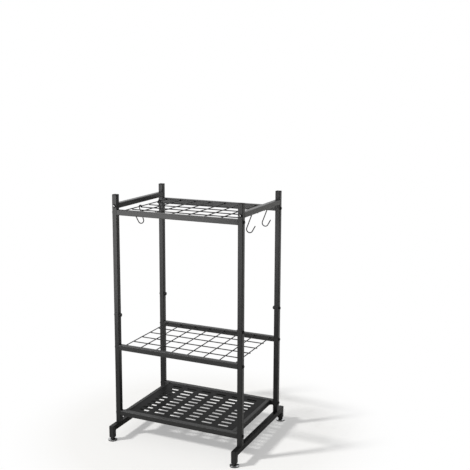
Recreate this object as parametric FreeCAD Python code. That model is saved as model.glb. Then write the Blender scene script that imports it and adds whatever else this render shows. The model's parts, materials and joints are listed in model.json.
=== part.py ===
"""Freestanding garden tool rack: square-tube frame, two wire grids, a slotted tray,
levelling feet and wire S-hooks. Millimetres, +Z up, origin on the floor under the centre,
+X to the right and -Y to the front."""
import FreeCAD
import Part
import math
import os
from FreeCAD import Vector

# Frame, measured over the outer faces of the posts
rack_width = 545.0
rack_depth = 380.0
tube_size = 20.0
tube_wall = 1.2
tube_corner = 2.0

# Heights of the rails' undersides and of the post's joint above the top of the foot bars
tray_rail_height = 27.0
middle_rail_height = 296.0
post_joint_height = 448.0
top_rail_height = 831.0

# Rise of a side rail above a top rail, and of the post's top above a side rail's underside
side_rail_rise = 25.0
post_rise = 54.0

# Joint of the post's two lengths
spigot_clearance = 0.2
spigot_wall = 1.2
spigot_reach = 40.0
joint_bolt_drop = 12.0

# Plastic parts and threaded plugs in the tube ends
cap_thickness = 3.0
cap_plug_length = 12.0
cap_edge_round = 1.0
plug_length = 20.0

# Wire grids
wire_diameter = 4.0
wire_drop = 5.0
cross_wire_count = 8
cross_wire_side_gap = 16.6
long_wire_count = 4
long_wire_end_gap = 70.6

# Tray
tray_side_gap = 12.0
tray_side_width = 16.0
sheet_thickness = 1.2
sheet_recess = 1.5
sheet_flange = 10.0
slot_columns = 6
slot_rows = 10
slot_length = 43.0
slot_width = 12.0
slot_corner = 4.0
slot_side_margin = 30.5
slot_end_margin = 25.4

# Foot bars and levelling feet
foot_bar_overhang = 52.5
leg_drop = 43.0
pad_thickness = 4.0
pad_radius = 17.5
disc_radius = 18.0
disc_rim = 1.0
disc_height = 4.0
disc_crown_radius = 9.0
disc_bulge = 0.01
rivet_radius = 5.5
rivet_pocket_gap = 1.0
rivet_thickness = 1.5
rivet_pin_radius = 3.0
collar_across_flats = 17.0
collar_height = 5.0
collar_gap = 0.5
insert_flange = 2.5
insert_length = 15.0
stud_length = 30.0
running_clearance = 0.05
rivet_end_play = 0.3

# Button-head screws
screw_radius = 4.0
head_radius = 7.0
head_height = 4.0
head_flat_radius = 3.5
head_bulge = 0.18
socket_across_flats = 5.0
socket_depth = 2.5
thread_reach = 15.0
hole_clearance = 0.3
nut_across_flats = 13.0
nut_thickness = 6.5
bolt_past_nut = 1.5

# S-hooks, hung on the outermost cross wires of the top grid
hook_wire_diameter = 4.0
hook_eye_inner_radius = 4.0
hook_rest_gap = 0.3
hook_bowl_radius = 12.5
hook_bowl_drop = 54.3
hook_bowl_inset = 1.3
hook_tip_length = 22.0
hook_tip_lean = 30.0
hook_eye_end_angle = 200.0
front_hook_gap = 7.0
back_hook_gap = 13.5

X_AXIS = Vector(1, 0, 0)
Y_AXIS = Vector(0, 1, 0)
Z_AXIS = Vector(0, 0, 1)
SIDES = {"left": -1, "right": 1}
ENDS = {"front": -1, "back": 1}

# Heights above the floor
leg_bottom = pad_thickness + disc_height + collar_height + collar_gap + insert_flange
bar_top = leg_bottom + leg_drop
side_rail_height = top_rail_height + side_rail_rise
post_top = bar_top + side_rail_height + post_rise
joint_z = bar_top + post_joint_height
joint_bolt_z = joint_z - joint_bolt_drop
side_rail_z = bar_top + side_rail_height + tube_size / 2
top_rail_z = bar_top + top_rail_height + tube_size / 2
middle_rail_z = bar_top + middle_rail_height + tube_size / 2
tray_rail_z = bar_top + tray_rail_height + tube_size / 2

# Places in plan
post_x = (rack_width - tube_size) / 2
post_y = (rack_depth - tube_size) / 2
rail_half_span = post_x - tube_size / 2
side_half_span = post_y - tube_size / 2
foot_y = rack_depth / 2 + foot_bar_overhang - tube_size / 2
outer_wire_x = rail_half_span - cross_wire_side_gap
tray_side_x = rail_half_span - tray_side_gap - tray_side_width / 2
tube_inside = tube_size - 2 * tube_wall
inside_corner = tube_corner - tube_wall


def spread(count, reach):
    """Evenly spaced places from -reach to +reach."""
    return [reach * (2 * i / (count - 1) - 1) for i in range(count)]


def rounded_rectangle(width, height, corner):
    """Face in the XY plane, centred on the origin."""
    half_w = width / 2
    half_h = height / 2
    cut = corner * (1 - math.sqrt(0.5))
    edges = []
    corners = [(1, 1), (-1, 1), (-1, -1), (1, -1)]
    for number, (sx, sy) in enumerate(corners):
        along_x = Vector(sx * (half_w - corner), sy * half_h, 0)
        along_y = Vector(sx * half_w, sy * (half_h - corner), 0)
        middle = Vector(sx * (half_w - cut), sy * (half_h - cut), 0)
        start, end = (along_y, along_x) if sx * sy > 0 else (along_x, along_y)
        edges.append(Part.Arc(start, middle, end).toShape())
        next_sx, next_sy = corners[(number + 1) % len(corners)]
        if next_sy == sy:
            following = Vector(next_sx * (half_w - corner), next_sy * half_h, 0)
        else:
            following = Vector(next_sx * half_w, next_sy * (half_h - corner), 0)
        edges.append(Part.LineSegment(end, following).toShape())
    return Part.Face(Part.Wire(edges))


def bar(width, height, corner, length):
    """Solid bar along +Z from the XY plane."""
    return rounded_rectangle(width, height, corner).extrude(Z_AXIS * length)


def tube(width, height, length):
    """Rectangular tube along +Z from the XY plane."""
    outside = bar(width, height, tube_corner, length)
    inside = bar(width - 2 * tube_wall, height - 2 * tube_wall, inside_corner, length)
    return outside.cut(inside)


def along(shape, direction, start):
    """Turn a shape made along +Z to run along a direction, from a start point."""
    if direction.isEqual(Z_AXIS, 1e-9):
        turn = FreeCAD.Rotation()
    elif abs(direction.z) > 0.5:
        turn = FreeCAD.Rotation(X_AXIS, 180)
    elif abs(direction.x) > 0.5:
        turn = FreeCAD.Rotation(Y_AXIS, 90 * direction.x)
    else:
        turn = FreeCAD.Rotation(X_AXIS, -90 * direction.y)
    placed = shape.copy()
    placed.Placement = FreeCAD.Placement(start, turn)
    return placed


def rod(radius, start, end):
    """Round bar between two points."""
    return Part.makeCylinder(radius, (end - start).Length, start, end - start)


def hexagon(across_flats, height):
    """Hexagonal prism along +Z from the XY plane."""
    corner_radius = across_flats / 2 / math.cos(math.pi / 6)
    points = []
    for i in range(7):
        angle = math.radians(60 * i)
        points.append(Vector(corner_radius * math.cos(angle), corner_radius * math.sin(angle), 0))
    return Part.Face(Part.makePolygon(points)).extrude(Z_AXIS * height)


def domed_edge(rim, crown, bulge):
    """Arc in the XZ plane that stands off its chord by a share of the chord's length."""
    chord = crown - rim
    outwards = Vector(abs(chord.z), 0, math.copysign(chord.x, chord.z))
    return Part.Arc(rim, (rim + crown) / 2 + outwards * bulge, crown).toShape()


def screw(shank_length):
    """Button-head socket screw: the head's seat is at the origin and the shank runs along +Z."""
    rim = Vector(head_radius, 0, 0)
    crown = Vector(head_flat_radius, 0, -head_height)
    outline = [
        domed_edge(rim, crown, head_bulge),
        Part.LineSegment(crown, Vector(0, 0, -head_height)).toShape(),
        Part.LineSegment(Vector(0, 0, -head_height), Vector(0, 0, 0)).toShape(),
        Part.LineSegment(Vector(0, 0, 0), rim).toShape(),
    ]
    head = Part.Face(Part.Wire(outline)).revolve(Vector(0, 0, 0), Z_AXIS, 360)
    socket = hexagon(socket_across_flats, socket_depth).translated(Vector(0, 0, -head_height))
    shank = Part.makeCylinder(screw_radius, shank_length)
    return head.cut(socket).fuse(shank).removeSplitter()


def drilled(shape, radius, start, end):
    """Shape with a round hole between two points."""
    return shape.cut(rod(radius, start, end))


def write(name, shape):
    """Save one node, a solid or a group of solids."""
    solids = [shape] if hasattr(shape, "exportStep") else shape
    for solid in solids:
        if not solid.isValid() or len(solid.Solids) != 1:
            raise ValueError(name + " is not one valid solid")
    bodies = [solid.Solids[0] for solid in solids]
    group = bodies[0] if len(bodies) == 1 else Part.makeCompound(bodies)
    group.exportStep("parts/" + name + ".step")


def post_screw_lines(side, end):
    """Screws through one post: (height, start on the outer face, direction inwards)."""
    x_in = Vector(-side, 0, 0)
    y_in = Vector(0, -end, 0)
    outer_x = side * rack_width / 2
    outer_y = end * rack_depth / 2
    lines = []
    for height in (tray_rail_z, middle_rail_z, top_rail_z):
        lines.append((height, Vector(outer_x, end * post_y, height), x_in))
    lines.append((side_rail_z, Vector(side * post_x, outer_y, side_rail_z), y_in))
    return lines


def with_screw_holes(post, side, end, low, high):
    """Post length between two heights with its clearance holes."""
    for height, start, inwards in post_screw_lines(side, end):
        if low < height < high:
            post = drilled(post, screw_radius + hole_clearance, start, start + inwards * tube_size)
    return post


def joint_bolt_line(side, end):
    """Start on a post's outer face and direction inwards of the bolt below the post's joint."""
    start = Vector(side * rack_width / 2, end * post_y, joint_bolt_z)
    return start, Vector(-side, 0, 0)


def make_posts():
    """Each post is two lengths of tube, one on the other."""
    for side_name, side in SIDES.items():
        for end_name, end in ENDS.items():
            foot = Vector(side * post_x, end * post_y, bar_top)
            lower = along(tube(tube_size, tube_size, post_joint_height), Z_AXIS, foot)
            lower = with_screw_holes(lower, side, end, bar_top, joint_z)
            start, inwards = joint_bolt_line(side, end)
            lower = drilled(lower, screw_radius + hole_clearance, start, start + inwards * tube_size)
            write("lower_post_" + end_name + "_" + side_name, lower)
            upper_length = post_top - cap_thickness - joint_z
            upper = tube(tube_size, tube_size, upper_length)
            upper = along(upper, Z_AXIS, Vector(foot.x, foot.y, joint_z))
            upper = with_screw_holes(upper, side, end, joint_z, post_top)
            write("upper_post_" + end_name + "_" + side_name, upper)


def post_places():
    """Side, end and place in plan of the four posts."""
    places = []
    for side in SIDES.values():
        for end in ENDS.values():
            places.append((side, end, Vector(side * post_x, end * post_y, 0)))
    return places


def make_post_joints():
    """Spigots inside the posts, where the two lengths meet, and the bolts and nuts through them."""
    spigots = []
    bolts = []
    nuts = []
    size = tube_inside - 2 * spigot_clearance
    inside = size - 2 * spigot_wall
    bolt_length = tube_size + nut_thickness + bolt_past_nut
    for side, end, place in post_places():
        outside = bar(size, size, inside_corner, 2 * spigot_reach)
        core = bar(inside, inside, inside_corner / 2, 2 * spigot_reach)
        spigot = along(outside.cut(core), Z_AXIS, place + Z_AXIS * (joint_z - spigot_reach))
        start, inwards = joint_bolt_line(side, end)
        hole_end = start + inwards * tube_size
        spigots.append(drilled(spigot, screw_radius + hole_clearance, start, hole_end))
        bolts.append(along(screw(bolt_length), inwards, start))
        nut = hexagon(nut_across_flats, nut_thickness)
        nut = nut.cut(Part.makeCylinder(screw_radius, nut_thickness))
        nuts.append(along(nut, inwards, hole_end))
    write("post_joint_spigots", spigots)
    write("post_joint_bolts", bolts)
    write("post_joint_nuts", nuts)


def cap_solid():
    """Tube cap with a rounded top edge; its flange's underside is in the XY plane."""
    flange = bar(tube_size, tube_size, tube_corner, cap_thickness)
    top_edges = [e for e in flange.Edges if e.BoundBox.ZMin > cap_thickness / 2]
    flange = flange.makeFillet(cap_edge_round, top_edges)
    stem = bar(tube_inside, tube_inside, inside_corner, cap_plug_length)
    return flange.fuse(stem.translated(Z_AXIS * -cap_plug_length)).removeSplitter()


def threaded_plug():
    """Plug that fills a tube's end and takes a screw, along +Z from the XY plane."""
    plug = bar(tube_inside, tube_inside, inside_corner, plug_length)
    return plug.cut(Part.makeCylinder(screw_radius, plug_length))


def make_post_ends():
    """Caps on the posts, and the plugs and bolts that hold the posts on the foot bars."""
    caps = []
    plugs = []
    bolts = []
    for side, end, place in post_places():
        caps.append(along(cap_solid(), Z_AXIS, place + Z_AXIS * (post_top - cap_thickness)))
        plugs.append(along(threaded_plug(), Z_AXIS, place + Z_AXIS * bar_top))
        bolt = screw(tube_size + thread_reach)
        bolts.append(along(bolt, Z_AXIS, place + Z_AXIS * (bar_top - tube_size)))
    write("post_caps", caps)
    write("post_base_plugs", plugs)
    write("foot_bar_bolts", bolts)


def make_rails():
    """Rails between the posts: three pairs across the width and one pair of side rails."""
    levels = {"tray": tray_rail_z, "middle": middle_rail_z, "top": top_rail_z}
    for level, height in levels.items():
        for end_name, end in ENDS.items():
            start = Vector(-rail_half_span, end * post_y, height)
            rail = along(tube(tube_size, tube_size, 2 * rail_half_span), X_AXIS, start)
            write(level + "_rail_" + end_name, rail)
    for side_name, side in SIDES.items():
        start = Vector(side * post_x, -side_half_span, side_rail_z)
        rail = along(tube(tube_size, tube_size, 2 * side_half_span), Y_AXIS, start)
        write("side_rail_" + side_name, rail)


def make_rail_fittings():
    """A screw through the post and a threaded plug in the rail at each rail's end."""
    screws = {"rail": [], "side_rail": []}
    plugs = {"rail": [], "side_rail": []}
    for side, end, place in post_places():
        for height, start, inwards in post_screw_lines(side, end):
            kind = "side_rail" if height == side_rail_z else "rail"
            screws[kind].append(along(screw(tube_size + thread_reach), inwards, start))
            plugs[kind].append(along(threaded_plug(), inwards, start + inwards * tube_size))
    for kind in screws:
        write(kind + "_screws", screws[kind])
        write(kind + "_plugs", plugs[kind])


def long_wire_places():
    """Y of each long wire."""
    return spread(long_wire_count, side_half_span - long_wire_end_gap)


def make_grid(level, rail_height):
    """Cross wires butt the rails; long wires lie under them and end on the outermost two."""
    radius = wire_diameter / 2
    cross_z = rail_height + tube_size / 2 - wire_drop
    long_z = cross_z - wire_diameter
    cross_wires = []
    for x in spread(cross_wire_count, outer_wire_x):
        start = Vector(x, -side_half_span, cross_z)
        cross_wires.append(rod(radius, start, start + Y_AXIS * 2 * side_half_span))
    long_wires = []
    reach = outer_wire_x + radius
    for y in long_wire_places():
        start = Vector(-reach, y, long_z)
        long_wires.append(rod(radius, start, start + X_AXIS * 2 * reach))
    write(level + "_grid_cross_wires", cross_wires)
    write(level + "_grid_long_wires", long_wires)


def panel_shell(half_width, low):
    """Tray panel before its slots: a sheet with its four edges folded down."""
    corner = Vector(-half_width, -side_half_span, low)
    panel = Part.makeBox(2 * half_width, 2 * side_half_span, sheet_flange, corner)
    inside_x = half_width - sheet_thickness
    inside_y = side_half_span - sheet_thickness
    corner = Vector(-inside_x, -inside_y, low)
    hollow = Part.makeBox(2 * inside_x, 2 * inside_y, sheet_flange - sheet_thickness, corner)
    return panel.cut(hollow)


def make_tray():
    """Slotted panel between two side members, all between the tray rails."""
    for side_name, side in SIDES.items():
        start = Vector(side * tray_side_x, -side_half_span, tray_rail_z)
        member = along(tube(tray_side_width, tube_size, 2 * side_half_span), Y_AXIS, start)
        write("tray_side_" + side_name, member)
    half_width = tray_side_x - tray_side_width / 2
    low = tray_rail_z + tube_size / 2 - sheet_recess - sheet_flange
    slot = bar(slot_length, slot_width, slot_corner, sheet_flange)
    slots = []
    for x in spread(slot_columns, half_width - slot_side_margin - slot_length / 2):
        for y in spread(slot_rows, side_half_span - slot_end_margin - slot_width / 2):
            slots.append(slot.translated(Vector(x, y, low + sheet_thickness)))
    write("tray_panel", panel_shell(half_width, low).cut(Part.makeCompound(slots)))


def corner_wedge(x, end):
    """Space outside the 45 degree mitre at one end of a foot bar, a tube wider on each side."""
    depth = 2 * foot_y
    outer = Vector(x - tube_size, end * (foot_y + tube_size / 2), bar_top)
    below = outer - Z_AXIS * depth
    inner = below - Y_AXIS * end * depth
    triangle = Part.Face(Part.makePolygon([outer, inner, below, outer]))
    return triangle.extrude(X_AXIS * 2 * tube_size)


def make_foot_bars():
    """Bars under the posts, with a leg mitred on at each end."""
    legs = []
    bar_end = foot_y + tube_size / 2
    for side_name, side in SIDES.items():
        x = side * post_x
        start = Vector(x, -bar_end, bar_top - tube_size / 2)
        foot_bar = along(tube(tube_size, tube_size, 2 * bar_end), Y_AXIS, start)
        for end in ENDS.values():
            wedge = corner_wedge(x, end)
            foot_bar = foot_bar.cut(wedge)
            leg = tube(tube_size, tube_size, leg_drop)
            legs.append(along(leg, Z_AXIS, Vector(x, end * foot_y, leg_bottom)).common(wedge))
            top = Vector(x, end * post_y, bar_top)
            foot_bar = drilled(foot_bar, screw_radius + hole_clearance, top - Z_AXIS * tube_size, top)
        write("foot_bar_" + side_name, foot_bar)
    write("foot_bar_legs", legs)


def disc_solid():
    """Domed disc with a hole for the stud's rivet and a pocket under it for the rivet's head."""
    seat = pad_thickness
    top = seat + disc_height
    rim = Vector(disc_radius, 0, seat + disc_rim)
    crown = Vector(disc_crown_radius, 0, top)
    outline = [
        Part.LineSegment(Vector(0, 0, seat), Vector(disc_radius, 0, seat)).toShape(),
        Part.LineSegment(Vector(disc_radius, 0, seat), rim).toShape(),
        domed_edge(rim, crown, disc_bulge),
        Part.LineSegment(crown, Vector(0, 0, top)).toShape(),
        Part.LineSegment(Vector(0, 0, top), Vector(0, 0, seat)).toShape(),
    ]
    disc = Part.Face(Part.Wire(outline)).revolve(Vector(0, 0, 0), Z_AXIS, 360)
    pocket_height = rivet_thickness + 2 * rivet_end_play
    seat_centre = Z_AXIS * seat
    pocket = Part.makeCylinder(rivet_radius + rivet_pocket_gap, pocket_height, seat_centre)
    hole = Part.makeCylinder(rivet_pin_radius + running_clearance, disc_height, seat_centre)
    return disc.cut(pocket).cut(hole)


def stud_solid():
    """Threaded stud, its hexagonal collar and the rivet that holds the disc."""
    collar_bottom = pad_thickness + disc_height + running_clearance
    collar_thickness = collar_height - running_clearance
    collar = hexagon(collar_across_flats, collar_thickness).translated(Z_AXIS * collar_bottom)
    collar_top = Z_AXIS * (collar_bottom + collar_thickness)
    stud = Part.makeCylinder(screw_radius, stud_length, collar_top)
    rivet_low = pad_thickness + rivet_end_play
    pin = Part.makeCylinder(rivet_pin_radius, collar_bottom - rivet_low, Z_AXIS * rivet_low)
    head = Part.makeCylinder(rivet_radius, rivet_thickness, Z_AXIS * rivet_low)
    return collar.fuse([stud, pin, head]).removeSplitter()


def insert_solid():
    """Threaded plug pressed into a leg's end, with a flange under it."""
    flange_bottom = Z_AXIS * (leg_bottom - insert_flange)
    flange = bar(tube_size, tube_size, tube_corner, insert_flange).translated(flange_bottom)
    plug = bar(tube_inside, tube_inside, inside_corner, insert_length)
    insert = flange.fuse(plug.translated(Z_AXIS * leg_bottom)).removeSplitter()
    bore_radius = screw_radius + running_clearance
    return insert.cut(Part.makeCylinder(bore_radius, insert_flange + insert_length, flange_bottom))


def make_feet():
    """A disc on a rubber pad and a stud in a threaded insert under each leg."""
    inserts = []
    for side_name, side in SIDES.items():
        for end_name, end in ENDS.items():
            place = Vector(side * post_x, end * foot_y, 0)
            corner = end_name + "_" + side_name
            write("foot_disc_" + corner, disc_solid().translated(place))
            write("foot_pad_" + corner, Part.makeCylinder(pad_radius, pad_thickness, place))
            write("foot_stud_" + corner, stud_solid().translated(place))
            inserts.append(insert_solid().translated(place))
    write("foot_inserts", inserts)


def hook_point(centre, radius, degrees):
    """Point on a circle in the XZ plane, its angle counted from +X towards +Z."""
    angle = math.radians(degrees)
    return centre + Vector(radius * math.cos(angle), 0, radius * math.sin(angle))


def hook_path(eye, bowl):
    """Centre line: an eye over the wire, a leaning straight shank, a bowl and a straight tip."""
    eye_radius = hook_eye_inner_radius + hook_wire_diameter / 2
    span = (eye - bowl).Length
    line_lean = math.degrees(math.atan2(eye.x - bowl.x, eye.z - bowl.z))
    lean = line_lean + math.degrees(math.asin((eye_radius + hook_bowl_radius) / span))
    eye_end = hook_point(eye, eye_radius, hook_eye_end_angle)
    eye_middle = hook_point(eye, eye_radius, (hook_eye_end_angle - lean) / 2)
    eye_start = hook_point(eye, eye_radius, -lean)
    bowl_start = hook_point(bowl, hook_bowl_radius, 180 - lean)
    bowl_middle = hook_point(bowl, hook_bowl_radius, 270 - (lean + hook_tip_lean) / 2)
    tip_start = hook_point(bowl, hook_bowl_radius, 360 - hook_tip_lean)
    tip_end = hook_point(tip_start, hook_tip_length, 90 - hook_tip_lean)
    path = Part.Wire([
        Part.Arc(eye_end, eye_middle, eye_start).toShape(),
        Part.LineSegment(eye_start, bowl_start).toShape(),
        Part.Arc(bowl_start, bowl_middle, tip_start).toShape(),
        Part.LineSegment(tip_start, tip_end).toShape(),
    ])
    return path, eye_end, tip_end


def hook_solid(wire_x, wire_z):
    """S-hook in the XZ plane for the right-hand side: round wire with rounded ends."""
    radius = hook_wire_diameter / 2
    eye_z = wire_z + wire_diameter / 2 + hook_rest_gap - hook_eye_inner_radius
    eye = Vector(wire_x, 0, eye_z)
    bowl = Vector(wire_x - hook_bowl_inset, 0, eye_z - hook_bowl_drop)
    path, eye_end, tip_end = hook_path(eye, bowl)
    heading = hook_point(Vector(0, 0, 0), 1, hook_eye_end_angle - 90)
    section = Part.Wire(Part.makeCircle(radius, eye_end, heading))
    hook = path.makePipeShell([section], True, False)
    ends = [Part.makeSphere(radius, eye_end), Part.makeSphere(radius, tip_end)]
    return hook.fuse(ends).removeSplitter()


def make_hooks():
    """Two hooks on each outermost cross wire of the top grid, clear of the long wires."""
    wire_z = top_rail_z + tube_size / 2 - wire_drop
    long_wires = long_wire_places()
    stations = {"front": long_wires[1] - front_hook_gap, "back": long_wires[-1] + back_hook_gap}
    right_hook = hook_solid(outer_wire_x, wire_z)
    for side_name, side in SIDES.items():
        hook = right_hook if side > 0 else right_hook.mirror(Vector(0, 0, 0), X_AXIS)
        for end_name, y in stations.items():
            write("hook_" + end_name + "_" + side_name, hook.translated(Y_AXIS * y))


os.makedirs("parts", exist_ok=True)
make_posts()
make_post_joints()
make_post_ends()
make_rails()
make_rail_fittings()
make_grid("top", top_rail_z)
make_grid("middle", middle_rail_z)
make_tray()
make_foot_bars()
make_feet()
make_hooks()
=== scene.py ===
"""Freestanding garden tool rack: finishes, welds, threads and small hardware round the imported
model, on a pale studio floor with the picture's camera. Metres, +Z up, -Y to the front."""

import json
import math

import bpy
import numpy as np
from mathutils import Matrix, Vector


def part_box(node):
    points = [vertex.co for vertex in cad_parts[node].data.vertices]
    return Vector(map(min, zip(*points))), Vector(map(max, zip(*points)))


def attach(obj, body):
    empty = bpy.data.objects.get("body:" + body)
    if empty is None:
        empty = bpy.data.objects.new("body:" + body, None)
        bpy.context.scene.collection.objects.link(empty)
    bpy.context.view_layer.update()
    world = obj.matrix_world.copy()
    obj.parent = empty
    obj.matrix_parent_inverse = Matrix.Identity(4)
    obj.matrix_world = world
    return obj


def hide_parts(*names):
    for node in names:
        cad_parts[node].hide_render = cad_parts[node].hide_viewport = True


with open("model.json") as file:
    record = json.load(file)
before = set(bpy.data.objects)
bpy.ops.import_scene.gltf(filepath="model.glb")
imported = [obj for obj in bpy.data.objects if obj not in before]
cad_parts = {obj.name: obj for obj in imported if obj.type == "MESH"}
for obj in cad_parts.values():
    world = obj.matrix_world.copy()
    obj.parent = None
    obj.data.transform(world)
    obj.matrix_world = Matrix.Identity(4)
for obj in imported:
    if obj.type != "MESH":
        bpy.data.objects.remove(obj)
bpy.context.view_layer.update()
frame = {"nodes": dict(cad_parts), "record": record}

MM = 0.001
TAU = 2 * math.pi
ENDS = ("front", "back")
SIDES = ("left", "right")
CORNERS = [end + "_" + side for end in ENDS for side in SIDES]

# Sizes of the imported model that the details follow
TUBE_HALF = 10.0 * MM
TUBE_CORNER = 2.0 * MM
WIRE_RADIUS = 2.0 * MM
CROSS_WIRES = 8
LONG_WIRES = 4
SCREW_RADIUS = 4.0 * MM
SOCKET_RADIUS = 2.9 * MM
COLLAR_WIDTH = 17.0 * MM
COLLAR_GAP = 0.05 * MM
COLLAR_RISE = 5.0 * MM
NUT_WIDTH = 13.0 * MM
NUT_THICKNESS = 6.5 * MM

# Marks in the finishes: a paler tube edge (wear and painted highlight), a joint's line of painted shade,
# a bare socket
EDGE_START = 7.9 * MM
EDGE_FULL = 9.7 * MM
SEAM_HALF = 0.3 * MM
SEAM_FADE = 0.75 * MM
SOCKET_CORE = 0.98
SOCKET_FADE = 1.06
HAIR_STRETCH = (1.0, 1.0, 0.06)

# Studs and nuts
TURNED_SIDES = 48
CHAMFER_SLOPE = 1 / math.tan(math.radians(30))
COLLAR_CHAMFER = 0.55 * MM
THREAD_PITCH = 1.25 * MM
THREAD_DEPTH = 0.6 * MM
GROOVE_STEEPNESS = 1.6
CREST_SHARE = 0.3
THREAD_RINGS = 8
POINT_LENGTH = 1.2 * MM
POINT_DEPTH = 0.9 * MM
NUT_CHAMFER = 0.6 * MM
NUT_DISH = 0.15 * MM

# Welds
SPOT_SIZE = (2.5 * MM, 2.5 * MM, 1.35 * MM)
SPOT_RINGS = 7
SPOT_SIDES = 12
SPOT_CUT = 0.12
SPOT_SPREAD = 0.16
FLARE_HEIGHT = 1.5 * MM
FLARE_REACH = 2.6 * MM
FLARE_STATIONS = np.array([-0.2, 0.2, 0.7, 1.3, 2.0, 2.7]) * MM
FLARE_LIMIT = 1.05
FLARE_SINK = 0.02 * MM
FLARE_SIDES = 16
FLARE_LUMPS = 0.1
BEAD_SIDES = 10
BEAD_RIPPLE = 1.9 * MM
BEAD_SWELL = 0.12
BEAD_CLOSING = 1.2
BEAD_TIP = 0.02
BEAD_STEP = 0.35 * MM
RING_STEP = 0.4 * MM
RING_CORNER_POINTS = 9
TRAY_BEAD = 1.5 * MM
MITRE_BEAD = 1.3 * MM
MITRE_FLATNESS = 0.25
MITRE_TRIM = 0.1
CORNER_BEAD = 1.6 * MM
CORNER_INSET = 1.2 * MM
SHARP_ANGLE = math.radians(35.0)

# Picture's camera, found from the rack's own edges. The lens is in millimetres
CAMERA_PLACE = (1.45068, -2.87283, 1.41196)
CAMERA_ANGLES = (math.radians(90 - 9.035), 0.0, math.radians(25.61))
CAMERA_LENS = 64.29
CAMERA_SHIFT = (0.0418, -0.0532)

# Studio
FLOOR_REACH = 14.0
FLOOR_DROP = 0.2 * MM
FLOOR_WHITE_FROM = 0.3
FLOOR_WHITE_TO = 0.8
FLOOR_WHITE_SHARE = 0.36
CARD_HEIGHT = 1.7
CARD_LEFT = (0.5, -1.9)
CARD_RIGHT = (1.7, 0.15)
WORLD_FILL = 0.33
WHITE = (1.0, 1.0, 1.0, 1.0)


def middle(node):
    """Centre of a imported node's box."""
    low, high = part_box(node)
    return np.add(low, high) / 2


class Value:
    """A shader number. Arithmetic on it adds Math nodes to its finish."""

    def __init__(self, finish, socket):
        self.finish = finish
        self.socket = socket

    def math(self, operation, *operands):
        """Result of a Math node on numbers and values."""
        inputs = dict(enumerate(operands))
        made = self.finish.node("ShaderNodeMath", {"operation": operation}, inputs)
        return Value(self.finish, made.outputs[0])

    def __add__(self, other):
        return self.math("ADD", self, other)

    __radd__ = __add__

    def __mul__(self, other):
        return self.math("MULTIPLY", self, other)

    def __sub__(self, other):
        return self.math("SUBTRACT", self, other)

    def __rsub__(self, other):
        return self.math("SUBTRACT", other, self)

    def __abs__(self):
        return self.math("ABSOLUTE", self)

    def smaller(self, other):
        """The smaller of two values."""
        return self.math("MINIMUM", self, other)

    def larger(self, other):
        """The larger of two values."""
        return self.math("MAXIMUM", self, other)

    def ramp(self, low, high):
        """0 below low and 1 above high, with a smooth change between. Turned over if low > high."""
        inputs = {"Value": self, "From Min": low, "From Max": high}
        settings = {"interpolation_type": "SMOOTHSTEP"}
        return Value(self.finish, self.finish.node("ShaderNodeMapRange", settings, inputs).outputs[0])


class Finish:
    """One material: a Principled surface and the nodes that feed it."""

    def __init__(self, name, **constants):
        self.material = bpy.data.materials.new(name)
        self.material.use_nodes = True
        self.tree = self.material.node_tree
        self.surface = self.tree.nodes["Principled BSDF"]
        for socket, value in constants.items():
            self.surface.inputs[socket.replace("_", " ")].default_value = value

    def node(self, kind, settings=None, inputs=None):
        """A node of a kind: its settings first, then values or links for its sockets."""
        made = self.tree.nodes.new(kind)
        for name, value in (settings or {}).items():
            setattr(made, name, value)
        for key, value in (inputs or {}).items():
            if isinstance(value, Value):
                value = value.socket
            if isinstance(value, bpy.types.NodeSocket):
                self.tree.links.new(value, made.inputs[key])
            else:
                made.inputs[key].default_value = value
        return made

    def place(self, stretch=(1.0, 1.0, 1.0)):
        """Position on the piece in metres, stretched."""
        coordinates = self.node("ShaderNodeTexCoord").outputs["Object"]
        return self.node("ShaderNodeMapping", None, {"Vector": coordinates, "Scale": stretch}).outputs[0]

    def axes(self):
        """X, Y and Z of the position on the piece."""
        coordinates = self.node("ShaderNodeTexCoord").outputs["Object"]
        split = self.node("ShaderNodeSeparateXYZ", None, {0: coordinates})
        return [Value(self, output) for output in split.outputs]

    def noise(self, scale, detail=2.0, roughness=0.5, stretch=(1.0, 1.0, 1.0)):
        """Soft random pattern, scale lumps to the metre."""
        inputs = {"Vector": self.place(stretch), "Scale": scale, "Detail": detail, "Roughness": roughness}
        return Value(self, self.node("ShaderNodeTexNoise", None, inputs).outputs["Fac"])

    def cells(self, scale):
        """Distance to the nearest of many scattered points, scale cells to the metre."""
        inputs = {"Vector": self.place(), "Scale": scale}
        return Value(self, self.node("ShaderNodeTexVoronoi", None, inputs).outputs["Distance"])

    def mix(self, factor, first, second):
        """Colour between two colours or links."""
        inputs = {0: factor, 6: first, 7: second}
        return self.node("ShaderNodeMix", {"data_type": "RGBA"}, inputs).outputs[2]

    def feed(self, socket, value):
        """Link a value or a socket to the surface."""
        if isinstance(value, Value):
            value = value.socket
        self.tree.links.new(value, self.surface.inputs[socket])

    def bump(self, height, distance, strength):
        """Fine relief, distance high."""
        inputs = {"Height": height, "Distance": distance, "Strength": strength}
        self.feed("Normal", self.node("ShaderNodeBump", None, inputs).outputs[0])


def grey(level, warmth=0.0):
    """Linear colour of one level, a little warmer or cooler."""
    return (level * (1 + warmth), level, level * (1 - warmth), 1.0)


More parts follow.
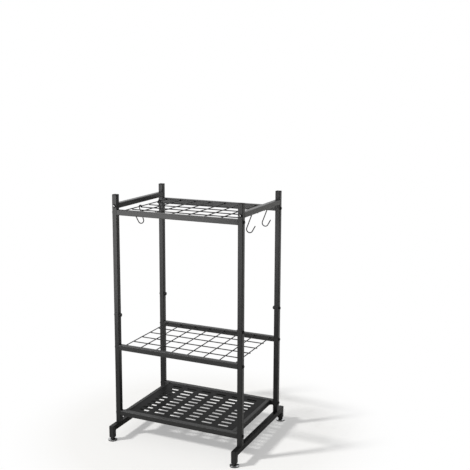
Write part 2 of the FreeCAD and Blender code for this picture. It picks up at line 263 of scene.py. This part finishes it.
def coat(name, level, gloss, roughness, section=None, seam=None):
    """Black powder coat: fine orange peel in the bump, soft clouds, pale nibs and hair scuffs in
    the colour, and tube edges that are a little paler and smoother, partly wear where things have
    brushed them and partly a painted highlight. section(axes) gives the two offsets from the tube's
    middle; seam is the height of a butt joint, drawn as a thin dark line of painted shade in its gap."""
    finish = Finish(name, Specular_IOR_Level=gloss)
    clouds = finish.noise(9.0, 3.0)
    nibs = finish.noise(1500.0, 1.0).ramp(0.64, 0.72)
    hairs = finish.noise(420.0, 1.0, 0.5, HAIR_STRETCH).ramp(0.66, 0.74)
    scuffs = hairs * clouds.ramp(0.5, 0.62)
    base = finish.mix(clouds, grey(level * 0.8, -0.01), grey(level * 1.2, 0.01))
    pale_marks_and_edge_highlight = (nibs * 0.6).larger(scuffs)
    if section:
        across, up = section(finish.axes())
        # Paler, smoother tube edges: partly wear, partly a painted highlight along the rounded edges.
        corner = across.smaller(up).ramp(EDGE_START, EDGE_FULL)
        worn_edge_and_highlight = corner * finish.noise(110.0, 3.0).ramp(0.42, 0.66)
        pale_marks_and_edge_highlight = pale_marks_and_edge_highlight.larger(worn_edge_and_highlight)
    if seam:
        # Dark line at the joint: painted shade in the hairline gap between the lower and upper post.
        line = abs(finish.axes()[2] - seam).ramp(SEAM_FADE, SEAM_HALF)
        base = finish.mix(line, base, grey(level * 0.25))
    finish.feed("Base Color", finish.mix(pale_marks_and_edge_highlight * 0.35, base, grey(level * 2.2, 0.015)))
    finish.feed("Roughness", roughness - 0.04 + clouds * 0.08 - pale_marks_and_edge_highlight * 0.06)
    grain = finish.noise(1100.0, 2.0, 0.55) + finish.noise(380.0, 1.0) * 0.7
    finish.bump(grain, 0.07 * MM, 0.7)
    return finish.material


def dark_steel(name, section=None):
    """Black-oxide steel: oily blue-black with brown patches, and bare metal in the hexagon sockets
    where a key has turned. section(axes) gives the two offsets from the nearest screw's middle."""
    finish = Finish(name, Specular_IOR_Level=0.16)
    patches = finish.noise(190.0, 3.0)
    base = finish.mix(patches, grey(0.004, -0.04), grey(0.014, 0.05))
    metal = patches * 0.5
    rough = 0.3 + patches * 0.18
    if section:
        across, up = section(finish.axes())
        spread = across * across + up * up
        bare = spread.ramp((SOCKET_RADIUS * SOCKET_FADE) ** 2, (SOCKET_RADIUS * SOCKET_CORE) ** 2)
        bare = bare * finish.noise(700.0, 2.0).ramp(0.3, 0.5)
        base = finish.mix(bare, base, grey(0.38, 0.01))
        metal = metal.larger(bare)
        rough = rough + bare * 0.1
    finish.feed("Base Color", base)
    finish.feed("Metallic", metal)
    finish.feed("Roughness", rough)
    finish.bump(finish.noise(2600.0, 2.0), 0.02 * MM, 0.4)
    return finish.material


def dull_zinc():
    """Plated steel: fine spangle, a little blue in its darker grains, and of uneven gloss."""
    finish = Finish("dull_zinc", Metallic=1.0)
    spangle = finish.cells(300.0)
    finish.feed("Base Color", finish.mix(spangle, grey(0.4, -0.02), grey(0.62, 0.01)))
    finish.feed("Roughness", 0.34 + spangle * 0.22)
    finish.bump(finish.noise(1500.0, 2.0), 0.02 * MM, 0.35)
    return finish.material


def moulded_plastic():
    """Black moulded plastic with a fine spark-eroded texture."""
    finish = Finish("moulded_black_plastic", Specular_IOR_Level=0.12)
    tone = finish.noise(40.0, 2.0)
    finish.feed("Base Color", finish.mix(tone, grey(0.006), grey(0.013, 0.02)))
    finish.feed("Roughness", 0.5 + tone * 0.14)
    finish.bump(finish.cells(1700.0), 0.04 * MM, 0.5)
    return finish.material


def bright_chrome():
    """Polished chrome with patches of faint haze."""
    finish = Finish("bright_chrome", Metallic=1.0)
    haze = finish.noise(80.0, 3.0)
    finish.feed("Base Color", finish.mix(haze, grey(0.46, -0.02), grey(0.55, -0.01)))
    finish.feed("Roughness", 0.11 + haze.ramp(0.45, 0.8) * 0.12)
    finish.bump(finish.noise(900.0, 2.0), 0.004 * MM, 0.35)
    return finish.material


def pad_rubber():
    """Black rubber with a pale bloom."""
    finish = Finish("black_rubber_pad", Specular_IOR_Level=0.3)
    bloom = finish.noise(45.0, 3.0)
    finish.feed("Base Color", finish.mix(bloom, grey(0.009), grey(0.024, 0.02)))
    finish.feed("Roughness", 0.68 + bloom * 0.16)
    finish.bump(finish.noise(1100.0, 2.0), 0.05 * MM, 0.5)
    return finish.material


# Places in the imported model, measured from its boxes
POST_X, POST_Y = (float(middle("upper_post_back_right")[axis]) for axis in (0, 1))
SEAM_HEIGHT = float(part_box("upper_post_back_right")[0][2])
RAIL_LEVELS = [float(middle(kind + "_rail_front")[2]) for kind in ("top", "middle", "tray")]
SIDE_RAIL_LEVEL = float(middle("side_rail_right")[2])
BOLT_LEVEL = float(middle("post_joint_bolts")[2])
FOOT_BAR_LEVEL = float(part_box("foot_bar_right")[1][2]) - TUBE_HALF


def upright(axes):
    """Offsets from the middle of the nearest post."""
    return abs(abs(axes[0]) - POST_X), abs(abs(axes[1]) - POST_Y)


def crosswise(axes):
    """Offsets from the middle of the nearest front or back rail."""
    heights = [abs(axes[2] - level) for level in RAIL_LEVELS]
    return abs(abs(axes[1]) - POST_Y), heights[0].smaller(heights[1]).smaller(heights[2])


def lengthwise(level):
    """Offsets from the middle of the left and right tubes at one height."""
    return lambda axes: (abs(abs(axes[0]) - POST_X), abs(axes[2] - level))


def bolted(axes):
    """Offsets from the middle of the nearest bolt below a post's joint, on its head's side only."""
    inwards = (POST_X - abs(axes[0])).larger(0.0)
    return abs(abs(axes[1]) - POST_Y) + inwards, abs(axes[2] - BOLT_LEVEL)


def make_finishes():
    """Finishes by the record's slots, and by node where a tube's edges need their own or a part's coat is
    paler or darker; the darker tray panel and foot bars are painted shade.
    """
    slots = {
        "black_powder_coat": coat("powder_coat", level=0.015, gloss=0.13, roughness=0.38),
        "black_wire": coat("wire_coat", level=0.004, gloss=0.1, roughness=0.32),
        "black_steel": dark_steel("black_oxide_steel"),
        "zinc_plated_steel": dull_zinc(),
        "black_plastic": moulded_plastic(),
        "chromed_disc": bright_chrome(),
        "black_rubber": pad_rubber(),
    }
    # Copies of the coat by part. The tray panel's and foot bars' darker colour is painted shade for the
    # rack's darker bottom; the rails and side rails are a little paler.
    posts = coat("powder_coat_posts", 0.015, 0.14, 0.34, upright, SEAM_HEIGHT)
    rails = coat("powder_coat_rails", 0.019, 0.15, 0.32, crosswise)
    tray = coat("powder_coat_tray_painted_shade", 0.010, 0.03, 0.42)
    side_rails = coat("powder_coat_side_rails", 0.018, 0.22, 0.3, lengthwise(SIDE_RAIL_LEVEL))
    foot_bars = coat("powder_coat_foot_bars_painted_shade", 0.007, 0.10, 0.38, lengthwise(FOOT_BAR_LEVEL))
    nodes = {"foot_bar_" + side: foot_bars for side in SIDES}
    nodes["tray_panel"] = tray
    nodes["rail_screws"] = dark_steel("black_oxide_rail_screws", crosswise)
    nodes["side_rail_screws"] = dark_steel("black_oxide_side_screws", lengthwise(SIDE_RAIL_LEVEL))
    nodes["post_joint_bolts"] = dark_steel("black_oxide_joint_bolts", bolted)
    nodes.update({"side_rail_" + side: side_rails for side in SIDES})
    nodes.update({kind + "_post_" + corner: posts for kind in ("lower", "upper") for corner in CORNERS})
    nodes.update({kind + "_rail_" + end: rails for kind in ("top", "middle", "tray") for end in ENDS})
    return slots, nodes


slot_finishes, node_finishes = make_finishes()
slot_of = {part["node"]: part["material_slot"] for part in frame["record"]["subparts"]}
for node, piece in frame["nodes"].items():
    piece.data.materials.clear()
    piece.data.materials.append(node_finishes.get(node, slot_finishes[slot_of[node]]))


def ring_quads(rings, sides):
    """Quads between neighbouring rings of points, closed round each ring."""
    ring, side = np.meshgrid(np.arange(rings - 1), np.arange(sides), indexing="ij")
    following = (side + 1) % sides
    corners = (ring * sides + side, ring * sides + following,
               (ring + 1) * sides + following, (ring + 1) * sides + side)
    return np.stack(corners, -1).reshape(-1, 4)


def make_piece(name, points, body, slot):
    """A piece from closed skins. points has the shape copies, rings, sides, 3. Rings run so that
    the sides turn anticlockwise seen from the last ring, and the end rings are closed with a cap."""
    copies, rings, sides = points.shape[:3]
    first = np.arange(copies)[:, None, None] * (rings * sides)
    quads = (ring_quads(rings, sides)[None] + first).reshape(-1, 4)
    turn = np.arange(sides)
    low_caps = first[:, :, 0] + turn[::-1][None]
    high_caps = first[:, :, 0] + (rings - 1) * sides + turn[None]
    faces = quads.tolist() + low_caps.tolist() + high_caps.tolist()
    mesh = bpy.data.meshes.new(name)
    mesh.from_pydata(points.reshape(-1, 3), [], faces)
    mesh.polygons.foreach_set("use_smooth", np.ones(len(faces), dtype=bool))
    mesh.set_sharp_from_angle(angle=SHARP_ANGLE)
    mesh.materials.append(slot_finishes[slot])
    piece = bpy.data.objects.new(name, mesh)
    bpy.context.scene.collection.objects.link(piece)
    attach(piece, body)
    return piece


def full_turn(sides):
    """Angles of the sides of a ring, evenly spread."""
    return np.arange(sides) * TAU / sides


def turned(heights, radii, sides):
    """Rings round +Z: point (r cos a, r sin a, z), with r and z from the two lists, or r from an
    array of rings x sides."""
    angle = full_turn(sides)
    radii = np.asarray(radii, dtype=float)
    radii = radii[:, None] if radii.ndim == 1 else radii
    heights = np.asarray(heights, dtype=float)[:, None]
    return np.stack([radii * np.cos(angle), radii * np.sin(angle), heights + 0 * radii * angle], -1)


def hexagon_radius(angle, across_flats):
    """Radius of a hexagon at an angle: half its width over the cosine of the angle from the
    nearest flat's middle."""
    from_flat = np.mod(angle, TAU / 6) - TAU / 12
    return across_flats / 2 / np.cos(from_flat)


def stud_points(collar_low, collar_high, top):
    """Levelling stud from its collar's underside up. The collar's radius is a hexagon's, cut by a
    30 degree cone at both faces. The thread's radius is R - depth * groove, with groove =
    1.6 |2 frac(z / pitch - a / turn) - 1| - 0.3 kept within 0 and 1. It fades in over the first
    pitch, and the top tapers to a point."""
    angle = full_turn(TURNED_SIDES)
    hexagon = hexagon_radius(angle, COLLAR_WIDTH)
    face = COLLAR_WIDTH / 2
    shoulder = face + COLLAR_CHAMFER * CHAMFER_SLOPE
    collar_z = [collar_low, collar_low + COLLAR_CHAMFER, collar_high - COLLAR_CHAMFER, collar_high]
    collar_r = np.minimum(hexagon[None], np.array([face, shoulder, shoulder, face])[:, None])
    rings = int((top - collar_high) / THREAD_PITCH * THREAD_RINGS) + 1
    thread_z = np.linspace(collar_high, top, rings)
    phase = thread_z[:, None] / THREAD_PITCH - angle[None] / TAU
    groove = np.clip(GROOVE_STEEPNESS * np.abs(2 * np.mod(phase, 1.0) - 1) - CREST_SHARE, 0, 1)
    fade = np.clip((thread_z - collar_high) / THREAD_PITCH, 0, 1)
    point = np.clip((thread_z - (top - POINT_LENGTH)) / POINT_LENGTH, 0, 1)
    thread_r = SCREW_RADIUS - THREAD_DEPTH * groove * fade[:, None] - POINT_DEPTH * point[:, None]
    heights = np.concatenate([collar_z, thread_z])
    radii = np.concatenate([collar_r, thread_r])
    return turned(heights, radii, TURNED_SIDES)


def make_studs():
    """Threaded levelling studs with a chamfered collar, in place of the plain ones."""
    for corner in CORNERS:
        node = "foot_stud_" + corner
        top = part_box(node)[1][2]
        centre = middle(node) * (1, 1, 0)
        disc_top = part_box("foot_disc_" + corner)[1][2]
        points = stud_points(disc_top + COLLAR_GAP, disc_top + COLLAR_RISE, top) + centre
        piece = make_piece("levelling_stud_" + corner, points[None], "stud_" + corner, slot_of[node])
        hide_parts(node)


def nut_points(across_flats, height):
    """Hexagon nut: a hexagon's radius, cut by a 30 degree cone at both faces, with a slightly
    dished outer face."""
    hexagon = hexagon_radius(full_turn(TURNED_SIDES), across_flats)
    face = across_flats / 2
    shoulder = face + NUT_CHAMFER * CHAMFER_SLOPE
    heights = [0, NUT_CHAMFER, height - NUT_CHAMFER, height, height - NUT_DISH]
    limits = np.array([face, shoulder, shoulder, face, SCREW_RADIUS])
    return turned(heights, np.minimum(hexagon[None], limits[:, None]), TURNED_SIDES)


def make_nuts():
    """Nuts of the posts' joint bolts, on the inner faces of the posts."""
    level = middle("post_joint_nuts")[2]
    points = nut_points(NUT_WIDTH, NUT_THICKNESS)
    face = POST_X - TUBE_HALF
    placed = []
    for x_way in (-1, 1):
        for y_way in (-1, 1):
            placed.append(np.stack([x_way * (face - points[..., 2]),
                                    y_way * POST_Y - x_way * points[..., 0],
                                    level + points[..., 1]], -1))
    piece = make_piece("joint_nuts", np.array(placed), "rack", slot_of["post_joint_nuts"])
    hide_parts("post_joint_nuts")


def nugget(size):
    """Squashed ball: radius sin(t) across and cos(t) up, times its three half sizes."""
    turn = np.linspace(SPOT_CUT, math.pi - SPOT_CUT, SPOT_RINGS)
    ball = turned(-np.cos(turn), np.sin(turn), SPOT_SIDES)
    return ball * np.asarray(size)


def spot_welds(across, along, level, chance):
    """Nuggets of uneven size where the wires cross."""
    x, y = np.meshgrid(across, along, indexing="ij")
    centres = np.stack([x, y, 0 * x + level], -1).reshape(-1, 1, 1, 3)
    grow = 1 + SPOT_SPREAD * chance.uniform(-1, 1, (len(centres), 1, 1, 3))
    return nugget(SPOT_SIZE)[None] * grow + centres


def end_welds(across, end_y, level, chance):
    """Flared collars, a little lumpy, that hold both ends of each cross wire to the rails. The
    radius is the wire's plus height * (1 - z / reach)^2, z being the distance from the rail."""
    rise = FLARE_HEIGHT * np.clip(1 - FLARE_STATIONS / FLARE_REACH, 0, FLARE_LIMIT) ** 2
    flare = WIRE_RADIUS + rise - FLARE_SINK
    collar = turned(-FLARE_STATIONS[::-1], flare[::-1], FLARE_SIDES)
    angle = full_turn(FLARE_SIDES)
    placed = []
    for way in (-1, 1):
        for place in across:
            lumps = 1 + FLARE_LUMPS * np.sin(2 * angle + chance.uniform(0, TAU))
            shaped = collar * np.stack([lumps, lumps, np.ones(FLARE_SIDES)], -1)[None]
            placed.append(np.stack([place - way * shaped[..., 0],
                                    way * (end_y + shaped[..., 2]),
                                    level + shaped[..., 1]], -1))
    return np.array(placed)


def make_wire_welds():
    """Spot welds where the wires cross, and the flared welds that hold the wires to the rails."""
    chance = np.random.default_rng(5)
    for grid in ("top", "middle"):
        low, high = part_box(grid + "_grid_cross_wires")
        long_low, long_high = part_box(grid + "_grid_long_wires")
        across = np.linspace(low[0] + WIRE_RADIUS, high[0] - WIRE_RADIUS, CROSS_WIRES)
        along = np.linspace(long_low[1] + WIRE_RADIUS, long_high[1] - WIRE_RADIUS, LONG_WIRES)
        spots = spot_welds(across, along, (high[2] + long_low[2]) / 2, chance)
        make_piece(grid + "_wire_spot_welds", spots, "rack", "black_wire")
        collars = end_welds(across, high[1], high[2] - WIRE_RADIUS, chance)
        make_piece(grid + "_wire_end_welds", collars, "rack", "black_wire")


def travelled(path):
    """Distance along a path at each of its points."""
    steps = np.linalg.norm(np.diff(path, axis=0), axis=1)
    return np.concatenate([[0.0], np.cumsum(steps)])


def bead(path, normals, binormals, radius):
    """Weld bead: a circle carried along a path, point = path + r (cos a normal + sin a binormal),
    with r swelling by 12% once every ripple and closing to nothing at both ends."""
    travel = travelled(path)
    swell = 1 + BEAD_SWELL * np.abs(np.sin(math.pi * travel / BEAD_RIPPLE))
    ends = np.minimum(travel, travel[-1] - travel) / (BEAD_CLOSING * radius)
    swell = swell * np.sqrt(np.clip(1 - (1 - np.clip(ends, 0, 1)) ** 2, BEAD_TIP, 1))
    angle = full_turn(BEAD_SIDES)
    circle = (np.cos(angle)[None, :, None] * normals[:, None]
              + np.sin(angle)[None, :, None] * binormals[:, None])
    return path[:, None] + radius * swell[:, None, None] * circle


def straight_bead(start, end, normal, radius, flat=1.0):
    """Bead along a straight line. flat squashes it towards the face that it lies on."""
    start, end, normal = (np.asarray(v, dtype=float) for v in (start, end, normal))
    length = np.linalg.norm(end - start)
    share = np.linspace(0, 1, int(length / BEAD_STEP) + 2)[:, None]
    path = start + (end - start) * share
    side = np.cross((end - start) / length, normal)
    ones = np.ones((len(path), 1))
    return bead(path, ones * normal * flat, ones * side, radius)


def ring_bead(centre, half_x, half_z, corner, radius):
    """Bead round a tube's end in the XZ plane: a rounded rectangle, its corner arcs traced by
    angle and its points then spaced evenly."""
    runs = []
    for x_way, z_way, start in ((1, 1, 0.0), (-1, 1, 0.25), (-1, -1, 0.5), (1, -1, 0.75)):
        turn = (start + np.linspace(0, 0.25, RING_CORNER_POINTS)) * TAU
        middle_x = x_way * (half_x - corner)
        middle_z = z_way * (half_z - corner)
        runs.append(np.stack([middle_x + corner * np.cos(turn), middle_z + corner * np.sin(turn)], -1))
    outline = np.concatenate(runs + [runs[0][:1]])
    travel = travelled(outline)
    even = np.linspace(0, travel[-1], int(travel[-1] / RING_STEP))
    x = np.interp(even, travel, outline[:, 0])
    z = np.interp(even, travel, outline[:, 1])
    path = np.stack([x, 0 * x, z], -1)
    way = np.gradient(path, axis=0)
    way /= np.linalg.norm(way, axis=1)[:, None]
    depth = np.tile([0.0, 1.0, 0.0], (len(path), 1))
    outwards = np.cross(depth, way)
    return bead(path + centre, outwards, np.cross(way, outwards), radius)


def make_tray_welds():
    """Fillet welds round the ends of the tray's side tubes."""
    rings = []
    for side in SIDES:
        low, high = np.array(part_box("tray_side_" + side))
        centre = (low + high) / 2
        half = (high - low) / 2
        for y in (low[1], high[1]):
            place = np.array([centre[0], y, centre[2]])
            rings.append(ring_bead(place, half[0], half[2], TUBE_CORNER, TRAY_BEAD))
    make_piece("tray_side_welds", np.array(rings), "rack", "black_powder_coat")


def make_foot_bar_welds():
    """Ground mitre welds on the foot bars' turned-down ends, with a bead in each inner corner."""
    seams = []
    corners = []
    for side in SIDES:
        low, high = np.array(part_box("foot_bar_" + side))
        x = (low[0] + high[0]) / 2
        top = high[2]
        for y_way, y in ((-1, low[1]), (1, high[1])):
            inner = np.array([x, y - y_way * 2 * TUBE_HALF, top - 2 * TUBE_HALF])
            outer = np.array([x, y, top])
            trim = (outer - inner) * MITRE_TRIM
            for x_way in (-1, 1):
                shift = np.array([x_way * TUBE_HALF, 0, 0])
                normal = np.array([x_way, 0.0, 0.0])
                seams.append(straight_bead(inner + shift, outer + shift - trim, normal,
                                           MITRE_BEAD, MITRE_FLATNESS))
            half = np.array([TUBE_HALF - CORNER_INSET, 0, 0])
            corners.append(straight_bead(inner - half, inner + half, (0, 0, 1.0), CORNER_BEAD))
    make_piece("foot_bar_mitre_welds", np.array(seams), "rack", "black_powder_coat")
    make_piece("foot_bar_corner_welds", np.array(corners), "rack", "black_powder_coat")


def make_camera():
    """Camera at the picture's angle."""
    lens = bpy.data.cameras.new("picture_lens")
    lens.sensor_width = 36.0
    lens.lens = CAMERA_LENS
    lens.shift_x, lens.shift_y = CAMERA_SHIFT
    camera = bpy.data.objects.new("picture_camera", lens)
    camera.location = CAMERA_PLACE
    camera.rotation_euler = CAMERA_ANGLES
    bpy.context.scene.collection.objects.link(camera)
    bpy.context.scene.camera = camera


def sheet(name, corners):
    """A flat four-cornered sheet, linked to the scene."""
    mesh = bpy.data.meshes.new(name)
    mesh.from_pydata(corners, [], [(0, 1, 2, 3)])
    made = bpy.data.objects.new(name, mesh)
    bpy.context.scene.collection.objects.link(made)
    return made


def make_floor():
    """Pale floor that fades to plain white away from the rack, for the camera only."""
    floor = sheet("studio_floor", [(-FLOOR_REACH, -FLOOR_REACH, 0.0), (FLOOR_REACH, -FLOOR_REACH, 0.0),
                                   (FLOOR_REACH, FLOOR_REACH, 0.0), (-FLOOR_REACH, FLOOR_REACH, 0.0)])
    floor.location.z = -FLOOR_DROP
    finish = Finish("pale_floor", Base_Color=(0.955, 0.945, 0.92, 1.0), Roughness=0.9,
                    Specular_IOR_Level=0.1)
    white = finish.node("ShaderNodeEmission", None, {"Color": WHITE, "Strength": 1.0})
    away = finish.node("ShaderNodeVectorMath", {"operation": "LENGTH"}, {0: finish.place()})
    far = Value(finish, away.outputs["Value"]).ramp(FLOOR_WHITE_FROM, FLOOR_WHITE_TO)
    seen = Value(finish, finish.node("ShaderNodeLightPath").outputs["Is Camera Ray"])
    share = far.larger(FLOOR_WHITE_SHARE) * seen
    inputs = {0: share, 1: finish.surface.outputs[0], 2: white.outputs[0]}
    mixed = finish.node("ShaderNodeMixShader", None, inputs)
    finish.tree.links.new(mixed.outputs[0], finish.tree.nodes["Material Output"].inputs["Surface"])
    floor.data.materials.append(finish.material)


def make_dark_card():
    """Dark card at the front right that only reflections see. It draws the dark line down the
    tubes' rounded corners, as a studio's unlit side does."""
    card = sheet("dark_card", [(*CARD_LEFT, 0.0), (*CARD_RIGHT, 0.0),
                               (*CARD_RIGHT, CARD_HEIGHT), (*CARD_LEFT, CARD_HEIGHT)])
    card.data.materials.append(Finish("dark_card", Base_Color=grey(0.03), Roughness=0.9).material)
    card.visible_camera = False
    card.visible_diffuse = False
    card.visible_shadow = False


def make_world():
    """White for the camera and for reflections, and a softer fill for everything else."""
    world = bpy.data.worlds.new("studio_white")
    bpy.context.scene.world = world
    world.use_nodes = True
    tree = world.node_tree
    fill = tree.nodes["Background"]
    fill.inputs["Color"].default_value = WHITE
    fill.inputs["Strength"].default_value = WORLD_FILL
    plain = tree.nodes.new("ShaderNodeBackground")
    plain.inputs["Color"].default_value = WHITE
    path = tree.nodes.new("ShaderNodeLightPath")
    seen = path.outputs["Is Camera Ray"]
    for ray in ("Is Glossy Ray", "Is Transmission Ray"):
        either = tree.nodes.new("ShaderNodeMath")
        either.operation = "MAXIMUM"
        tree.links.new(seen, either.inputs[0])
        tree.links.new(path.outputs[ray], either.inputs[1])
        seen = either.outputs[0]
    mixed = tree.nodes.new("ShaderNodeMixShader")
    for place, link in enumerate((seen, fill.outputs[0], plain.outputs[0])):
        tree.links.new(link, mixed.inputs[place])
    tree.links.new(mixed.outputs[0], tree.nodes["World Output"].inputs["Surface"])


def add_lamp(name, kind, location, direction, **settings):
    """A lamp that shines along a direction. Returns its object."""
    lamp = bpy.data.lights.new(name, kind)
    for setting, value in settings.items():
        setattr(lamp, setting, value)
    holder = bpy.data.objects.new(name, lamp)
    holder.location = location
    holder.rotation_euler = Vector(direction).to_track_quat("-Z", "Y").to_euler()
    holder.visible_camera = False
    bpy.context.scene.collection.objects.link(holder)
    return holder


def make_lamps():
    """A key lamp from the upper left in front, as the shadow tells, and a low soft box at the front
    left that only reflections see."""
    add_lamp("key", "SUN", (0, 0, 3), (0.93, 0.82, -1.0), energy=3.1, angle=math.radians(7.0))
    box = add_lamp("soft_box", "AREA", (-0.85, -1.5, 0.75), (0.85, 1.5, -0.05),
                   shape="RECTANGLE", size=1.0, size_y=1.3, energy=36.0)
    box.visible_diffuse = False


make_studs()
make_nuts()
make_wire_welds()
make_tray_welds()
make_foot_bar_welds()
make_camera()
make_floor()
make_dark_card()
make_world()
make_lamps()
bpy.context.scene.view_settings.view_transform = "Standard"
